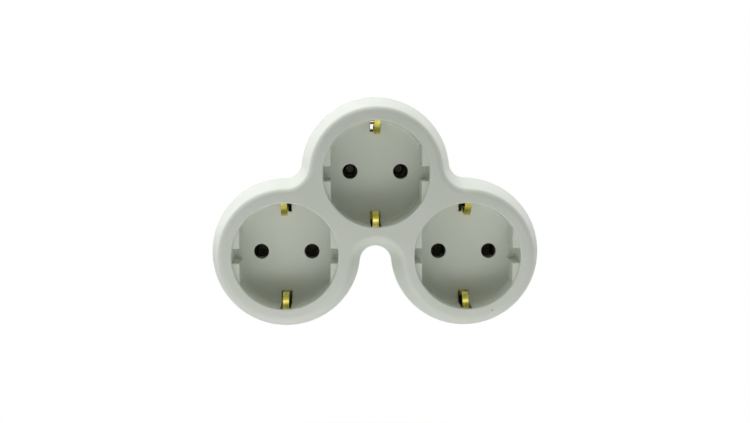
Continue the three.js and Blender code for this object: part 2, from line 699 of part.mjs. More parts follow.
function earthLink() {
  const path = [
    [LEFT.x, rivetY(LEFT, 1)],
    [TOP.x, rivetY(TOP, -1)],
    [RIGHT.x, rivetY(RIGHT, 1)],
  ];
  const through = [LINK_Z - EPS, LINK_TOP + EPS];
  const holes = path.map(([x, y]) => cylinder(x, y, RIVET_R + GAP, through, SMALL_SEGMENTS));
  return flatStrip(path, LINK_W, [LINK_Z, LINK_TOP]).subtract(joined(holes));
}

// An earth strip of the plug: a leg along the boss, turned inwards into a foot that is riveted inside
function plugEarthStrip(side) {
  const footTop = (side > 0 ? LINK_TOP : LINK_Z - GAP) - EYE_PROUD;
  const inner = side > 0 ? UPPER_FOOT_IN : -LEG_W / 2;
  const rivetAt = rivetY(TOP, side);
  const legY = [side * (BOSS_R - LEG_T), side * BOSS_R].sort((a, b) => a - b);
  const footY = [side * (BOSS_R - LEG_T / 2), rivetAt - side * (RIVET_HEAD_R + GAP)].sort((a, b) => a - b);
  const leg = box([-LEG_W / 2, LEG_W / 2], legY, [BOSS_EDGE_R, footTop]);
  const foot = box([inner, LEG_W / 2], footY, [footTop - EARTH_T, footTop]);
  const eye = cylinder(0, rivetAt, LEG_W / 2, [footTop - EARTH_T, footTop], SMALL_SEGMENTS);
  const hole = cylinder(0, rivetAt, RIVET_R + GAP, [footTop - EARTH_T - EPS, footTop + EPS], SMALL_SEGMENTS);
  return joined([leg, foot, eye]).subtract(hole);
}

// A housing screw with a domed head, a cross recess and a pointed shank
function screw(x, y) {
  const seat = SCREW_SEAT_Z - GAP;
  const low = seat - SCREW_HEAD_H;
  const profile = [[0, low]];
  for (let i = 0; i <= ROUND_STEPS; i++) {
    const angle = (Math.PI / 2) * (i / ROUND_STEPS);
    const r = SCREW_HEAD_R - SCREW_HEAD_ROUND + SCREW_HEAD_ROUND * Math.sin(angle);
    profile.push([r, low + SCREW_HEAD_ROUND - SCREW_HEAD_ROUND * Math.cos(angle)]);
  }
  profile.push([SCREW_HEAD_R, seat], [SCREW_R, seat], [SCREW_R, SCREW_TIP_Z - 2 * SCREW_R]);
  profile.push([SCREW_POINT_R, SCREW_TIP_Z], [0, SCREW_TIP_Z]);
  const reach = SLOT_L / 2;
  const levels = [low - EPS, low + SLOT_DEPTH];
  const recess = joined([
    box([x - reach, x + reach], [y - SLOT_W / 2, y + SLOT_W / 2], levels),
    box([x - SLOT_W / 2, x + SLOT_W / 2], [y - reach, y + reach], levels),
  ]);
  return turned(x, y, profile, SMALL_SEGMENTS).subtract(recess);
}

// Materials
function finish(color, roughness, metalness) {
  return () => new THREE.MeshStandardMaterial({ color, roughness, metalness, flatShading: true });
}

const plastic = finish(0xe1e4dc, 0.42, 0);
const brass = finish(0xc9b04e, 0.3, 1);
const plated = finish(0xc9c7c0, 0.25, 1);
const steel = finish(0xa9abad, 0.35, 1);

const adapter = new THREE.Group();
adapter.rotation.x = Math.PI / 2;
adapter.add(piece("front_cover", frontCover(), plastic()));
adapter.add(piece("back_cover", backCover(), plastic()));

const plug = new THREE.Group();
plug.add(piece("plug_pin_left", plugPin(-1), plated()));
plug.add(piece("plug_pin_right", plugPin(1), plated()));
plug.add(piece("plug_earth_strip_upper", plugEarthStrip(1), brass()));
plug.add(piece("plug_earth_strip_lower", plugEarthStrip(-1), brass()));
adapter.add(plug);

const liveParts = new THREE.Group();
liveParts.add(piece("live_bus_bar", liveBar(), brass()));
liveParts.add(piece("neutral_bus_bar", neutralBar(), brass()));
const clipBaseTop = BAR_TOP + GAP + CLIP_T;
for (const place of contactPlaces()) {
  liveParts.add(piece(place.name, contact(place), brass()));
  if (place.socket !== TOP) {
    const name = place.name.replace("contact", "rivet");
    liveParts.add(piece(name, rivet(place.x, place.y, [BAR_Z, clipBaseTop]), brass()));
  }
}
adapter.add(liveParts);

const earthParts = new THREE.Group();
for (const socket of SOCKETS) {
  earthParts.add(piece("earth_bracket_" + socket.name, earthBracket(socket), brass()));
}
earthParts.add(piece("earth_link", earthLink(), brass()));
for (const socket of [LEFT, RIGHT]) {
  const made = rivet(socket.x, rivetY(socket, 1), [LINK_Z, CROSS_TOP]);
  earthParts.add(piece("rivet_earth_" + socket.name, made, brass()));
}
const lowStack = [LINK_Z - GAP - EARTH_T, CROSS_TOP];
earthParts.add(piece("rivet_earth_lower", rivet(0, rivetY(TOP, -1), lowStack), brass()));
earthParts.add(piece("rivet_earth_upper", rivet(0, rivetY(TOP, 1), [LINK_Z, CROSS_TOP]), brass()));
adapter.add(earthParts);

const fasteners = new THREE.Group();
for (const [name, x, y] of SCREWS) fasteners.add(piece(name, screw(x, y), steel()));
adapter.add(fasteners);

const part = new THREE.Group();
part.add(adapter);
export default part;
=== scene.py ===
"""Looks of a triple socket adapter: moulded covers, bent brass clips, plated pins, studio and camera."""

import math

import bmesh
import bpy
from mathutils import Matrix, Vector


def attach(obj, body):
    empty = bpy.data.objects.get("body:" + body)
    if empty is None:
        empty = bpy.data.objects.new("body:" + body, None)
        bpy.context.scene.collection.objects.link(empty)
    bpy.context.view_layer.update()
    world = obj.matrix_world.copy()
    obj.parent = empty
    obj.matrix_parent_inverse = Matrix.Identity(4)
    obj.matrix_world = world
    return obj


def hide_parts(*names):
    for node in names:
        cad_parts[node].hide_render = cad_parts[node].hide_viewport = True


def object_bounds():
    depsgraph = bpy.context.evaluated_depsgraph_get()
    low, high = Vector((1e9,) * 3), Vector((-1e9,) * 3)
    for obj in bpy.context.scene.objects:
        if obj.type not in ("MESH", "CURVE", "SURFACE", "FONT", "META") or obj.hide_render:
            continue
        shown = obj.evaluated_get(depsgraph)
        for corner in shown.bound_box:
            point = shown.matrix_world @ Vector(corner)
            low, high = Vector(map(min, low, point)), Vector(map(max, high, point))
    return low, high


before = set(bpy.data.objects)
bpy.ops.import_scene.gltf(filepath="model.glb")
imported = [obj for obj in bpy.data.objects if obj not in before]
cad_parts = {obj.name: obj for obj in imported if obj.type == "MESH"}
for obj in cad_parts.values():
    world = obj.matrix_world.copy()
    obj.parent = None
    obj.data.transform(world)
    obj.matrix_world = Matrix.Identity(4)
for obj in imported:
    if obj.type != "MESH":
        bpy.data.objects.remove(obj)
cad_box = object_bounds()

# Sizes are in millimetres in the drawing frame: x right, y up, z from the plug's face towards the front.
MM = 0.001
GAP = 0.3

# How far cutters and joined pieces reach past the faces that they meet
EPS = 0.5
PAST = 1.0
FLARE_PAST = 0.1

# Outline of the body at its seam
LOBE_R = 27.6
LOWER_X = 33.3
LOWER_Y = -30.0
JUNCTION_R = 6.0

# Levels
BOSS_H = 17.5
FRONT_Z = 60.0
SEAM_Z = 45.0

# Shells
WALL = 2.2
FRONT_DRAFT = math.radians(12.8)
FRONT_EDGE_R = 2.7
BACK_TAPER = math.radians(1.75)
BACK_EDGE_R = 2.5
TONGUE_OUT = 1.3
TONGUE_H = 1.8

# Wells
WELL_R = 19.4
WELL_DEPTH = 17.5
WELL_EDGE_R = 0.5
WELL_FILLET_R = 1.4
FLOOR_Z = FRONT_Z - WELL_DEPTH
FLOOR_T = 2.2
FLOOR_BACK_Z = FLOOR_Z - FLOOR_T
CUP_WALL = 1.9
PIN_PITCH = 19.0
PIN_HOLE_R = 2.8
HOLE_EDGE = 0.25
GUIDE_X = 16.5
GUIDE_DROP = 1.8
GUIDE_TOP = FRONT_Z - GUIDE_DROP
GUIDE_EDGE_R = 0.6
NOTCH_W = 5.45
WINDOW_W = 3.8
WINDOW_IN = 15.0
WINDOW_DROP = 1.2
WINDOW_TOP = FRONT_Z - WINDOW_DROP
EDGE_CHAMFER = 0.22

# Plug
BOSS_R = 18.3
BOSS_FLAT_X = 16.2
BOSS_RIB_W = 4.8
BOSS_EDGE_R = 1.0
BOSS_WALL = 2.2
GROOVE_W = 5.0
GROOVE_IN = 15.2
GROOVE_OUT = BOSS_R + GAP
PIN_R = 2.4
PIN_LENGTH = 19.0
DOME_START = math.radians(-85)
SLEEVE_WALL = 1.5
COLLAR_R = 3.2
NECK_R = 1.5
PEEN = 0.6

# Metal inside
BAR_Z = 20.6
BAR_T = 1.0
BAR_TOP = BAR_Z + BAR_T
PAD_R = 4.5
CLIP_T = 0.6
CLIP_H = 5.5
CLIP_BELLY = 3.0
CHAMBER_WALL = 1.2
CHAMBER_Z = 31.0
RIVET_R = 1.0
RIVET_HEAD_R = 1.9
RIVET_HEAD_H = 0.6

# Earth parts
EARTH_W = 2.4
EARTH_T = 0.8
EARTH_STRIP_EDGE = 0.18
EARTH_APEX_R = 14.6
EARTH_FLOOR_R = 16.7
EARTH_TIP_R = 19.9
EARTH_APEX_DROP = 8.5
EARTH_TIP_DROP = 2.8
EARTH_APEX_Z = FRONT_Z - EARTH_APEX_DROP
EARTH_TIP_Z = FRONT_Z - EARTH_TIP_DROP
EARTH_FLARE_OUT = 2.3
EARTH_FLARE_DROP = 2.0
EARTH_KNEE_OUT = 0.9
EARTH_KNEE_RISE = 3.5
EARTH_BEND_R = 1.2
EYE_R = 2.8
EYE_PROUD = 0.05
EARTH_RIVET_R = 10.5
CROSS_TOP = FLOOR_BACK_Z - GAP
CROSS_Z = CROSS_TOP - EARTH_T
LINK_TOP = CROSS_Z - GAP
LINK_Z = LINK_TOP - EARTH_T
LEG_T = 0.7
LEG_W = 4.0
UPPER_FOOT_IN = -0.6

# Screws. The dome lists shares of the head's radius and how far they lie above its lowest face.
SCREW_PLACES = {
    "screw_upper_left": (-24.5, -6.0),
    "screw_upper_right": (24.5, -6.0),
    "screw_lower_left": (-45.3, -44.0),
    "screw_lower_right": (45.3, -44.0),
}
SCREW_SEAT_Z = 26.0
SCREW_HEAD_R = 2.9
SCREW_HEAD_H = 1.9
SCREW_DOME = ((0.45, 0.0), (0.7, 0.1), (0.88, 0.4), (0.97, 0.9), (1.0, 1.4))
SCREW_R = 1.25
SCREW_POINT_R = 0.25
SCREW_LENGTH = 13.0
PILLAR_R = 3.4
PILLAR_WALL = 1.4
RECESS_W = 0.8
RECESS_DEPTH = 1.0
RECESS_SHARE = 0.6

# Sockets: axis, sideways shift and turn of the earth bracket, and which of its ends are riveted
SOCKETS = {
    "left": (-LOWER_X, LOWER_Y, -0.12, 0.0165, (1,)),
    "right": (LOWER_X, LOWER_Y, 0.0, -0.02, (1,)),
    "top": (0.0, 0.0, 0.12, -0.0165, (1, -1)),
}
AXES = [(x, y) for x, y, *_ in SOCKETS.values()]
PIN_PLACES = [(x + side * PIN_PITCH / 2, y) for x, y in AXES for side in (-1, 1)]
LOWER_PIN_PLACES = [(x, y) for x, y in PIN_PLACES if y == LOWER_Y]

# Smoothness
LOBE_STEP = math.radians(3)
ARC_STEPS_MIN = 10
ROUND_STEPS = 8
EDGE_STEPS = 6
HOLE_EDGE_STEPS = 4
DOME_STEPS = 12
ARM_STEPS = 96
CORNER_STEPS = 3
WELL_SEGMENTS = 144
HOLE_SEGMENTS = 56
SHARP_ANGLE = math.radians(28)
STRIP_SHARP_ANGLE = math.radians(40)
FACE_WEIGHT = 100

# Noise scales, in grains a metre, and the parts of the noise's range that are used
BLOTCH_SCALE = 45
SHINE_SCALE = 160
RIPPLE_SCALE = 240
TARNISH_SCALE = 260
SPECK_EDGE_SCALE = 2600
GRAIN_SCALE = 3200
ROLLED_SCALES = (5000, 500, 500)
TURNED_SCALES = (400, 2500, 400)
EVEN_SCALES = (700, 700, 700)
PATCHES = (0.35, 0.7)
MIDDLE = (0.3, 0.7)

# Plastic, with its colours as 8-bit display values
PLASTIC_COLOUR = (227, 231, 222)
YELLOWED_COLOUR = (223, 228, 216)
PLASTIC_ROUGHNESS = (0.40, 0.5)

# Depths of the bumps, in metres
GRAIN_DEPTH = 0.00002
RIPPLE_DEPTH = 0.00006

# A small grey speck on the lower right lobe's land. Its radii and the raggedness of its rim are in metres.
SPECK_OUT = 21.8
SPECK_ANGLE = math.radians(-65.5)
SPECK_AT = (
    LOWER_X + SPECK_OUT * math.cos(SPECK_ANGLE),
    LOWER_Y + SPECK_OUT * math.sin(SPECK_ANGLE),
    FRONT_Z,
)
SPECK_RADII = (0.00042, 0.00062)
SPECK_RAGGED = 0.0005
SPECK_SHARE = 0.75
SPECK_COLOUR = (120, 118, 108)

# Solids that keep their shape and only get a finish, by how their names start, and those of them that keep
# the plain brass; the others get brass darkened as painted shade
INNER_NODES = ("contact_", "rivet_", "live_", "neutral_", "earth_link")
PLAIN_BRASS_NODES = ("earth_link", "rivet_earth_lower", "rivet_earth_upper")

# Studio, in metres: a floor well below the part, which hangs by its plug. It turns white away from the part.
FLOOR_DROP = 0.10
FLOOR_HALF = 6.0
FLOOR_GREY = 0.55
WHITE_FROM = 0.17
WHITE_TO = 0.26
AIM = (0, -0.03, -0.015)

# Where along Y the world changes: from straight ahead to the dim belt, and from the belt to the sides
AHEAD_SPAN = (-0.8, -0.6)
BESIDE_SPAN = (-0.2, 0.05)
FRONT_TINT = (0.97, 1.0, 0.93)
SIDE_TINT = (0.98, 0.99, 1.0)

# Camera, fitted to the three rims and floors in the photograph: place and viewing direction in metres
SENSOR = 36
LENS = 61.22
CAMERA_AT = (-0.01261, -0.52010, 0.02501)
CAMERA_LOOKS = (0.0261, 0.99616, -0.0836)

collection = bpy.context.scene.collection


def place(x, y, z):
    """A point of the drawing frame, in metres in the part's frame."""
    return Vector((x * MM, -z * MM, y * MM))


def new_object(name, vertices, faces):
    """A closed mesh from points in the drawing frame, with its faces turned outwards."""
    mesh = bpy.data.meshes.new(name)
    mesh.from_pydata([place(*v) for v in vertices], [], faces)
    work = bmesh.new()
    work.from_mesh(mesh)
    bmesh.ops.recalc_face_normals(work, faces=work.faces)
    work.to_mesh(mesh)
    work.free()
    made = bpy.data.objects.new(name, mesh)
    collection.objects.link(made)
    return made


def stacked(name, rings):
    """A solid through closed rings that have the same number of points, with flat ends."""
    count = len(rings[0])
    vertices = [p for ring in rings for p in ring]
    faces = []
    for k in range(len(rings) - 1):
        for i in range(count):
            j = (i + 1) % count
            faces.append((k * count + i, k * count + j, (k + 1) * count + j, (k + 1) * count + i))
    last = (len(rings) - 1) * count
    faces.append(tuple(reversed(range(count))))
    faces.append(tuple(range(last, last + count)))
    return new_object(name, vertices, faces)


def turned(x, y, profile, segments=HOLE_SEGMENTS):
    """A body of revolution with flat ends. The profile lists (radius, z) from one end to the other."""
    turn = 2 * math.pi / segments
    rings = [
        [(x + r * math.cos(i * turn), y + r * math.sin(i * turn), z) for i in range(segments)]
        for r, z in profile
    ]
    return stacked("turned", rings)


def cylinder(x, y, radius, levels, segments=HOLE_SEGMENTS):
    """A cylinder along z between two levels."""
    return turned(x, y, [(radius, levels[0]), (radius, levels[1])], segments)


def box(xs, ys, zs):
    """A box between two values along each axis."""
    ring = [(xs[0], ys[0]), (xs[1], ys[0]), (xs[1], ys[1]), (xs[0], ys[1])]
    return stacked("box", [[(x, y, z) for x, y in ring] for z in zs])


def centred_box(x, y, half_x, half_y, levels):
    """A box round an axis along z."""
    return box((x - half_x, x + half_x), (y - half_y, y + half_y), levels)


def arc(centre, radius, start, end):
    """Points along an arc, without its last one."""
    steps = max(ARC_STEPS_MIN, round(abs(end - start) / LOBE_STEP))
    angles = [start + (end - start) * i / steps for i in range(steps)]
    return [(centre[0] + radius * math.cos(a), centre[1] + radius * math.sin(a)) for a in angles]


def direction(start, end):
    """The angle of the way from one point to another."""
    return math.atan2(end[1] - start[1], end[0] - start[0])


def junction_centre(side):
    """The hollow curve between the top lobe and a lower one touches both lobes."""
    length = math.hypot(LOWER_X, LOWER_Y)
    rise = math.sqrt((LOBE_R + JUNCTION_R) ** 2 - (length / 2) ** 2) / length
    return (side * (LOWER_X / 2 - LOWER_Y * rise), LOWER_Y / 2 + LOWER_X * rise)


# Centres of the outline's arcs. The notch's arc touches all three lobes.
TOP = (0.0, 0.0)
LEFT = (-LOWER_X, LOWER_Y)
RIGHT = (LOWER_X, LOWER_Y)
JUNCTION_LEFT = junction_centre(-1)
JUNCTION_RIGHT = junction_centre(1)
NOTCH = (0.0, (LOWER_X**2 + LOWER_Y**2) / (2 * LOWER_Y))
NOTCH_R = -NOTCH[1] - LOBE_R


def outline(inset):
    """The body's outline moved inwards: each arc keeps its centre."""
    lobe = LOBE_R - inset
    hollow = JUNCTION_R + inset
    left_end = direction(LEFT, NOTCH) + 2 * math.pi
    return [
        *arc(TOP, lobe, direction(TOP, JUNCTION_RIGHT), direction(TOP, JUNCTION_LEFT)),
        *arc(JUNCTION_LEFT, hollow, direction(JUNCTION_LEFT, TOP), direction(JUNCTION_LEFT, LEFT)),
        *arc(LEFT, lobe, direction(LEFT, JUNCTION_LEFT), left_end),
        *arc(NOTCH, NOTCH_R + inset, direction(NOTCH, LEFT), direction(NOTCH, RIGHT)),
        *arc(RIGHT, lobe, direction(RIGHT, NOTCH), direction(RIGHT, JUNCTION_RIGHT)),
        *arc(JUNCTION_RIGHT, hollow, direction(JUNCTION_RIGHT, RIGHT), direction(JUNCTION_RIGHT, TOP)),
    ]


def loft(levels):
    """A solid through the outline at each (inset, z)."""
    return stacked("loft", [[(x, y, z) for x, y in outline(inset)] for inset, z in levels])


def combine(target, others, operation):
    """Joins the others to the target, cuts them from it or keeps what is common, and removes them."""
    for other in others:
        change = target.modifiers.new("combine", "BOOLEAN")
        change.object = other
        change.operation = operation
        change.solver = "MANIFOLD"
    graph = bpy.context.evaluated_depsgraph_get()
    graph.update()
    result = bpy.data.meshes.new_from_object(target.evaluated_get(graph))
    target.modifiers.clear()
    old = target.data
    target.data = result
    bpy.data.meshes.remove(old)
    for other in others:
        bpy.data.objects.remove(other)
    return target


def join(target, *others):
    return combine(target, others, "UNION")


def cut(target, *others):
    return combine(target, others, "DIFFERENCE")


def common(target, *others):
    return combine(target, others, "INTERSECT")


def finish_piece(piece, name, material, replaced, sharp=SHARP_ANGLE):
    """Names a made piece, shades it smooth between its edges and sets it in the frame."""
    piece.name = name
    piece.data.name = name
    piece.data.materials.clear()
    piece.data.materials.append(material)
    for face in piece.data.polygons:
        face.use_smooth = True
    piece.data.set_sharp_from_angle(angle=sharp)
    normals = piece.modifiers.new("normals", "WEIGHTED_NORMAL")
    normals.keep_sharp = True
    normals.weight = FACE_WEIGHT
    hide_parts(replaced)
    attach(piece, "root")


def quarter(centre_r, centre_z, radius, start, end, steps=ROUND_STEPS):
    """Points (r, z) on a round of a profile, from one angle to another."""
    angles = [start + (end - start) * i / steps for i in range(steps + 1)]
    return [(centre_r + radius * math.cos(a), centre_z + radius * math.sin(a)) for a in angles]


def flank_inset(z):
    """How far the front cover's drafted flank lies inside the seam's outline."""
    return (z - SEAM_Z) * math.tan(FRONT_DRAFT)


def back_inset(z):
    """The same for the back cover."""
    return (SEAM_Z - z) * math.tan(BACK_TAPER)


def front_edge():
    """(inset, z) levels of the front's rounded edge."""
    low = FRONT_Z - FRONT_EDGE_R * (1 - math.sin(FRONT_DRAFT))
    centre = flank_inset(low) + FRONT_EDGE_R * math.cos(FRONT_DRAFT)
    points = quarter(0, FRONT_Z - FRONT_EDGE_R, FRONT_EDGE_R, FRONT_DRAFT, math.pi / 2)
    return [(centre - r, z) for r, z in points]


def back_edge():
    """(inset, z) levels of the back's rounded edge."""
    high = BOSS_H + BACK_EDGE_R * (1 - math.sin(BACK_TAPER))
    centre = back_inset(high) + BACK_EDGE_R * math.cos(BACK_TAPER)
    points = quarter(0, BOSS_H + BACK_EDGE_R, BACK_EDGE_R, -math.pi / 2, -BACK_TAPER)
    return [(centre - r, z) for r, z in points]


def well_space(x, y):
    """One well: floor fillet, wall and rounded mouth, with its two guide blocks left standing."""
    profile = quarter(WELL_R - WELL_FILLET_R, FLOOR_Z + WELL_FILLET_R, WELL_FILLET_R, -math.pi / 2, 0)
    mouth = quarter(0, FRONT_Z - WELL_EDGE_R, WELL_EDGE_R, 0, math.pi / 2, EDGE_STEPS)
    profile += [(WELL_R + WELL_EDGE_R - r, z) for r, z in mouth]
    profile.append((WELL_R + WELL_EDGE_R, FRONT_Z + EPS))
    space = turned(x, y, profile, WELL_SEGMENTS)
    return cut(space, *[guide_block(x, y, side) for side in (-1, 1)])


def guide_block(x, y, side):
    """A guide block with a rounded upper edge, keyed by a notch whose edges are broken."""
    half = WELL_R - PAST
    low, high = FLOOR_Z - PAST, GUIDE_TOP + PAST
    edge_x, edge_z = GUIDE_X + GUIDE_EDGE_R, GUIDE_TOP - GUIDE_EDGE_R
    profile = [
        (GUIDE_X, FLOOR_Z - EPS),
        *quarter(edge_x, edge_z, GUIDE_EDGE_R, math.pi, math.pi / 2, EDGE_STEPS),
        (WELL_R + PAST, GUIDE_TOP),
        (WELL_R + PAST, FLOOR_Z - EPS),
    ]
    rings = [[(x + side * u, y + v, w) for u, w in profile] for v in (-half, half)]
    block = stacked("block", rings)
    wide = sorted((x + side * (GUIDE_X - PAST), x + side * (WELL_R + 2 * PAST)))
    cutters = [box(wide, (y - NOTCH_W / 2, y + NOTCH_W / 2), (low, high))]
    for end in (-1, 1):
        edge_y = y + end * NOTCH_W / 2
        cutters.append(upright_bar(x + side * GUIDE_X, edge_y, (low, high)))
        cutters.append(lying_bar(edge_y, GUIDE_TOP, wide))
    for cutter in cutters:
        cut(block, cutter)
    return block


def diamond(u, v):
    """The section of a square bar set on its corner, which breaks an edge."""
    c = EDGE_CHAMFER
    return [(u + c, v), (u, v + c), (u - c, v), (u, v - c)]


def upright_bar(x, y, zs):
    """Such a bar along z."""
    return stacked("bar", [[(u, v, z) for u, v in diamond(x, y)] for z in zs])


def lying_bar(y, z, xs):
    """Such a bar along x."""
    return stacked("bar", [[(x, u, v) for u, v in diamond(y, z)] for x in xs])


def pin_hole(x, y):
    """A pin hole with a small round at the well's floor."""
    wide = PIN_HOLE_R + HOLE_EDGE
    rounded = quarter(wide, FLOOR_Z - HOLE_EDGE, HOLE_EDGE, math.pi, math.pi / 2, HOLE_EDGE_STEPS)
    return turned(x, y, [(PIN_HOLE_R, FLOOR_BACK_Z - EPS), *rounded, (wide, FLOOR_Z + EPS)])


def earth_window(x, y, side):
    """An upright slot through the floor and the wall of a well."""
    near = y + side * WINDOW_IN
    far = y + side * (WELL_R + CUP_WALL + EPS)
    levels = (FLOOR_BACK_Z - EPS, WINDOW_TOP)
    return box((x - WINDOW_W / 2, x + WINDOW_W / 2), sorted((near, far)), levels)


def window_flare(x, y, side):
    """Breaks the window's edges where it meets the well's floor."""
    near = y + side * WINDOW_IN
    far = y + side * (WELL_R - WELL_FILLET_R)
    levels = (
        (0, FLOOR_Z - HOLE_EDGE),
        (HOLE_EDGE, FLOOR_Z),
        (HOLE_EDGE + FLARE_PAST, FLOOR_Z + FLARE_PAST),
    )
    rings = []
    for grow, z in levels:
        half = WINDOW_W / 2 + grow
        low, high = sorted((near - side * grow, far))
        rings.append([(x - half, low, z), (x + half, low, z), (x + half, high, z), (x - half, high, z)])
    return stacked("flare", rings)


def front_cover():
    """The front shell: outline, tongue, cups, contact chambers and screw pillars, then all that is cut."""
    rim = SEAM_Z + GAP / 2
    inner = FRONT_Z - WALL
    cover = loft([(flank_inset(rim), rim), *front_edge()])
    cut(cover, loft([(WALL, SEAM_Z - EPS), (WALL, rim), (flank_inset(inner) + WALL, inner)]))
    tongue = loft([(TONGUE_OUT, SEAM_Z - TONGUE_H), (TONGUE_OUT, SEAM_Z + EPS)])
    cut(tongue, loft([(WALL, SEAM_Z - TONGUE_H - EPS), (WALL, SEAM_Z + 2 * EPS)]))
    cups = [cylinder(x, y, WELL_R + CUP_WALL, (FLOOR_BACK_Z, inner + EPS), WELL_SEGMENTS) for x, y in AXES]
    half_x = CLIP_BELLY + CLIP_T + GAP
    half_y = CLIP_H / 2 + GAP
    chambers = [
        centred_box(x, y, half_x + CHAMBER_WALL, half_y + CHAMBER_WALL, (CHAMBER_Z, FLOOR_BACK_Z + EPS))
        for x, y in PIN_PLACES
    ]
    pillar_z = SCREW_SEAT_Z + WALL + GAP
    pillars = []
    for name, (x, y) in SCREW_PLACES.items():
        top = inner if "upper" in name else FLOOR_BACK_Z
        pillars.append(cylinder(x, y, PILLAR_R, (pillar_z, top + EPS)))
    join(cover, tongue, *cups, *chambers, *pillars)
    pilot_top = SCREW_SEAT_Z + SCREW_LENGTH + GAP
    cutters = [well_space(x, y) for x, y in AXES]
    cutters += [pin_hole(x, y) for x, y in PIN_PLACES]
    for x, y in AXES:
        for side in (-1, 1):
            cutters += [earth_window(x, y, side), window_flare(x, y, side)]
    cutters += [centred_box(x, y, half_x, half_y, (CHAMBER_Z - EPS, FLOOR_BACK_Z)) for x, y in PIN_PLACES]
    cutters += [cylinder(x, y, SCREW_R + GAP, (pillar_z - EPS, pilot_top)) for x, y in SCREW_PLACES.values()]
    pocket = (FLOOR_BACK_Z - EPS, FLOOR_BACK_Z + RIVET_HEAD_H + GAP)
    for x, y, _, _, sides in SOCKETS.values():
        cutters += [cylinder(x, y + side * EARTH_RIVET_R, RIVET_HEAD_R + GAP, pocket) for side in sides]
    return cut(cover, *cutters)


def boss():
    """The plug's round body with side flats, keying ribs and a rounded face edge."""
    rounded = quarter(BOSS_R - BOSS_EDGE_R, BOSS_EDGE_R, BOSS_EDGE_R, -math.pi / 2, 0)
    body = turned(0, 0, [*rounded, (BOSS_R, BOSS_H + EPS)], WELL_SEGMENTS)
    levels = (-EPS, BOSS_H + 2 * EPS)
    form = centred_box(0, 0, BOSS_FLAT_X, BOSS_R + PAST, levels)
    join(form, centred_box(0, 0, BOSS_R + PAST, BOSS_RIB_W / 2, levels))
    return common(body, form)


def counterbore(x, y):
    """A screw's hole through the back: shank hole, head space and broken edge."""
    shank, head = SCREW_R + GAP, SCREW_HEAD_R + GAP
    profile = [(shank, SCREW_SEAT_Z + WALL + EPS), (shank, SCREW_SEAT_Z)]
    profile += [(head, SCREW_SEAT_Z), (head, BOSS_H + HOLE_EDGE)]
    profile += [(head + HOLE_EDGE, BOSS_H), (head + HOLE_EDGE, BOSS_H - EPS)]
    return turned(x, y, profile)


def back_cover():
    """The rear shell with the plug's boss, pin sleeves, screw pillars and rests for the bars."""
    rim = SEAM_Z - GAP / 2
    inner = BOSS_H + WALL
    cover = loft([*back_edge(), (back_inset(rim), rim)])
    join(cover, boss())
    hollow = loft([(back_inset(inner) + WALL, inner), (back_inset(rim) + WALL, rim + EPS)])
    rebate = loft([(TONGUE_OUT - GAP, SEAM_Z - TONGUE_H - GAP), (TONGUE_OUT - GAP, rim + EPS)])
    levels = (BOSS_WALL, inner + EPS)
    chamber = centred_box(0, 0, BOSS_FLAT_X - BOSS_WALL, GROOVE_IN - BOSS_WALL, levels)
    common(chamber, cylinder(0, 0, BOSS_R - BOSS_WALL, levels, WELL_SEGMENTS))
    cut(cover, hollow, rebate, chamber)
    pillar_r = SCREW_HEAD_R + GAP + PILLAR_WALL
    added = [
        cylinder(x, y, pillar_r, (BOSS_H + EPS, SCREW_SEAT_Z + WALL)) for x, y in SCREW_PLACES.values()
    ]
    pins = [(side * PIN_PITCH / 2, 0) for side in (-1, 1)]
    added += [cylinder(x, y, PIN_R + GAP + SLEEVE_WALL, (EPS, BOSS_H)) for x, y in pins]
    for x, y in LOWER_PIN_PLACES:
        rest = cylinder(x, y, PAD_R, (inner - EPS, BAR_Z - GAP))
        added.append(cut(rest, cylinder(x, y, RIVET_HEAD_R + GAP, (inner, BAR_Z))))
    join(cover, *added)
    cutters = [cylinder(x, y, PIN_R + GAP, (-EPS, BOSS_H + EPS)) for x, y in pins]
    cutters += [counterbore(x, y) for x, y in SCREW_PLACES.values()]
    for side in (-1, 1):
        ends = sorted((side * GROOVE_IN, side * GROOVE_OUT))
        cutters.append(box((-GROOVE_W / 2, GROOVE_W / 2), ends, (-EPS, inner + EPS)))
    return cut(cover, *cutters)


def spline(points, steps):
    """Points and unit tangents along a centripetal cubic curve through the given points."""
    points = [Vector(p) for p in points]
    points = [2 * points[0] - points[1], *points, 2 * points[-1] - points[-2]]
    spans = len(points) - 3
    result = []
    for i in range(steps + 1):
        t = spans * i / steps
        k = min(int(t), spans - 1)
        f = t - k
        p = points[k : k + 4]
        d = [math.sqrt((p[j + 1] - p[j]).length) for j in range(3)]
        v0 = ((p[1] - p[0]) / d[0] - (p[2] - p[0]) / (d[0] + d[1]) + (p[2] - p[1]) / d[1]) * d[1]
        v1 = ((p[2] - p[1]) / d[1] - (p[3] - p[1]) / (d[1] + d[2]) + (p[3] - p[2]) / d[2]) * d[1]
        a = 2 * p[1] - 2 * p[2] + v0 + v1
        b = -3 * p[1] + 3 * p[2] - 2 * v0 - v1
        result.append((a * f**3 + b * f**2 + v0 * f + p[1], (3 * a * f**2 + 2 * b * f + v0).normalized()))
    return result


def band_section(width, thickness, edge):
    """Cross-section of a strip, (across, through), with its four edges rounded."""
    section = []
    for sx, sy, start in ((1, 1, 0), (-1, 1, 90), (-1, -1, 180), (1, -1, 270)):
        cx = sx * (width / 2 - edge)
        cy = sy * (thickness / 2 - edge)
        for step in range(CORNER_STEPS + 1):
            a = math.radians(start + 90 / CORNER_STEPS * step)
            section.append((cx + edge * math.cos(a), cy + edge * math.sin(a)))
    return section


